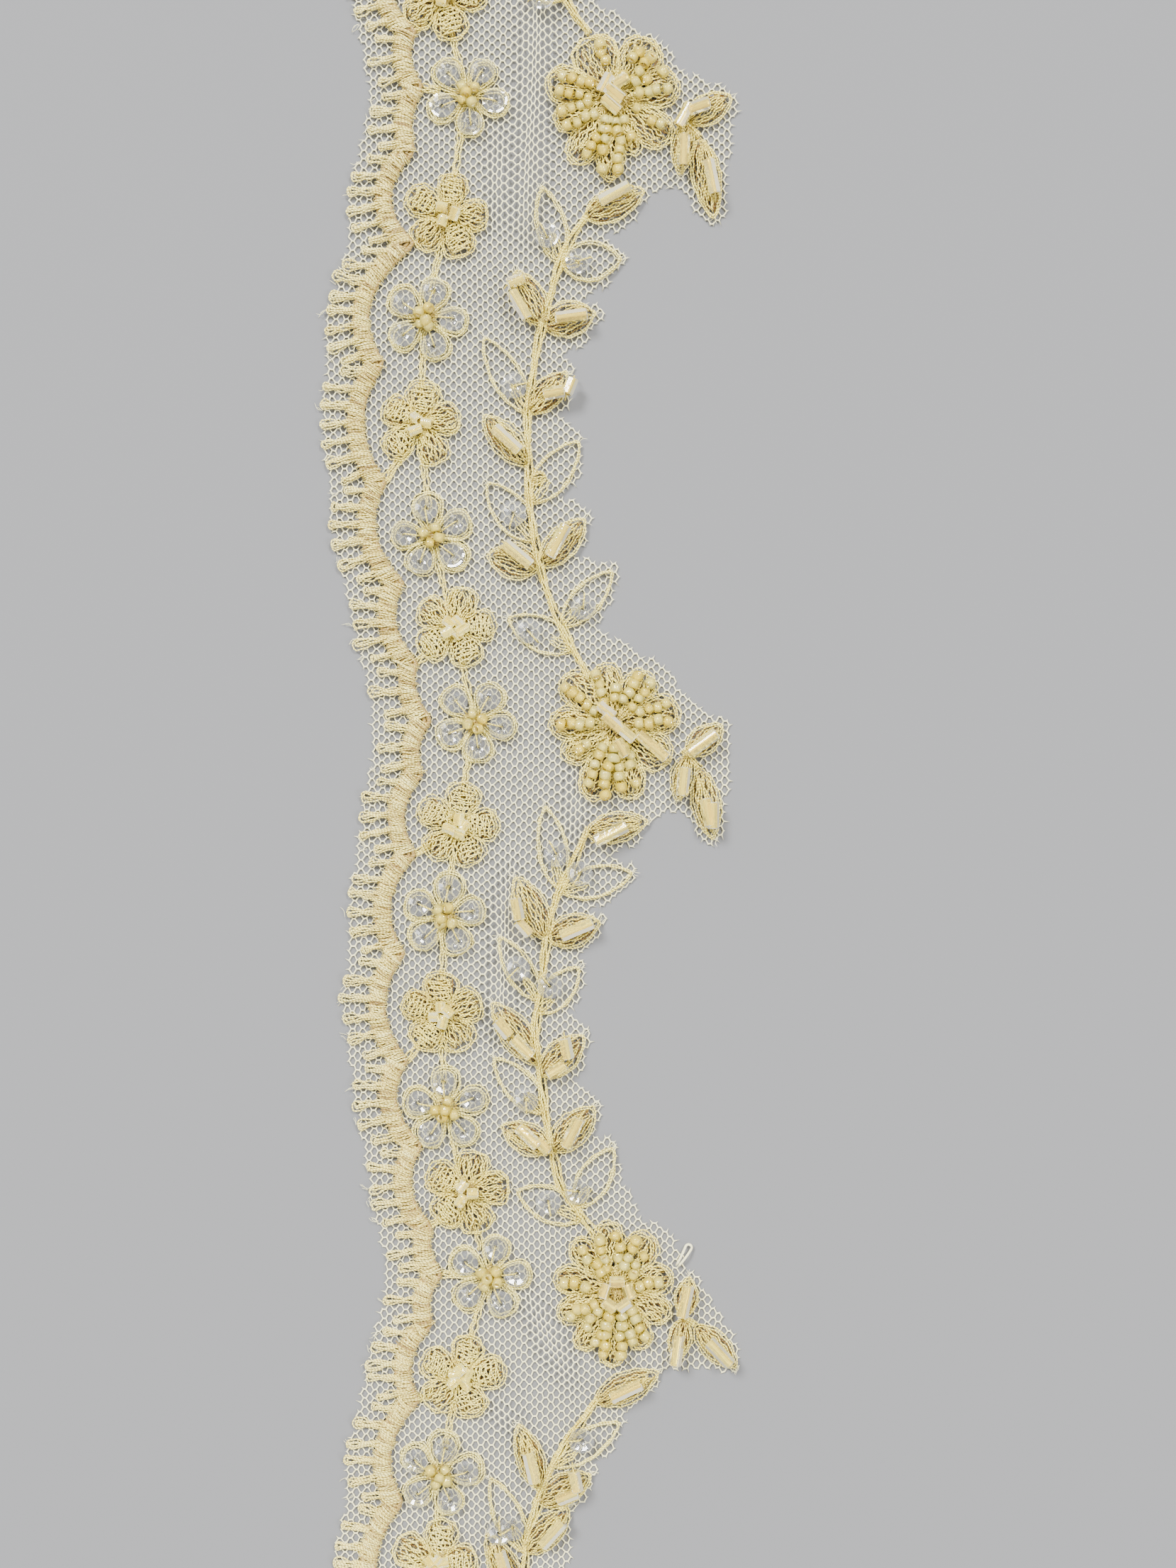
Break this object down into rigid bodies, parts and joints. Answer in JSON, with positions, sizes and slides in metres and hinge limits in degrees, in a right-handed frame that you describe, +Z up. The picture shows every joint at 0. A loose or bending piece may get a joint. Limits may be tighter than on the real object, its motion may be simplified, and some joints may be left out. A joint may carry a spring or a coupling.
{
  "type": "beaded embroidered net lace edging",
  "caption": "Cut length of net lace edging lying flat: satin scalloped border, embroidered flowers and leafy sprays with glass bugle beads.",
  "frame": {"origin": "centre of the bounding box's underside, where the net rests on the surface", "axes": "+Y along the edging, +X from the scalloped border towards the free flowers, +Z up through the net"},
  "size_m": [0.0658, 0.264, 0.0052],
  "materials": {
    "net_thread": "matt fine net yarn",
    "satin_thread": "soft sheen of satin stitches",
    "gold_thread": "soft sheen of twisted embroidery thread",
    "bead_glass": "glossy lustred glass"
  },
  "bodies": {
    "root": {"net_ground": "net_thread", "scallop_border": "satin_thread", "small_flower_01": "gold_thread", "small_flower_02": "gold_thread", "small_flower_03": "gold_thread", "small_flower_04": "gold_thread", "small_flower_05": "gold_thread", "small_flower_06": "gold_thread", "small_flower_07": "gold_thread", "small_flower_08": "gold_thread", "small_flower_09": "gold_thread", "small_flower_10": "gold_thread", "small_flower_11": "gold_thread", "small_flower_12": "gold_thread", "small_flower_13": "gold_thread", "small_flower_14": "gold_thread", "small_flower_15": "gold_thread", "small_flower_16": "gold_thread", "small_flower_17": "gold_thread", "large_flower_1": "gold_thread", "large_flower_2": "gold_thread", "large_flower_3": "gold_thread", "vine_1": "gold_thread", "vine_2": "gold_thread", "vine_3": "gold_thread", "vine_4": "gold_thread", "sprig_1": "gold_thread", "sprig_2": "gold_thread", "sprig_3": "gold_thread", "bugle_01": "bead_glass", "bugle_02": "bead_glass", "bugle_03": "bead_glass", "bugle_04": "bead_glass", "bugle_05": "bead_glass", "bugle_06": "bead_glass", "bugle_07": "bead_glass", "bugle_08": "bead_glass", "bugle_09": "bead_glass", "bugle_10": "bead_glass", "bugle_11": "bead_glass", "bugle_12": "bead_glass", "bugle_13": "bead_glass", "bugle_14": "bead_glass", "bugle_15": "bead_glass", "bugle_16": "bead_glass", "bugle_17": "bead_glass", "bugle_18": "bead_glass", "bugle_19": "bead_glass", "bugle_20": "bead_glass", "bugle_21": "bead_glass", "bugle_22": "bead_glass", "bugle_23": "bead_glass", "bugle_24": "bead_glass", "bugle_25": "bead_glass", "bugle_26": "bead_glass", "bugle_27": "bead_glass", "bugle_28": "bead_glass", "bugle_29": "bead_glass"}
  },
  "joints": []
}
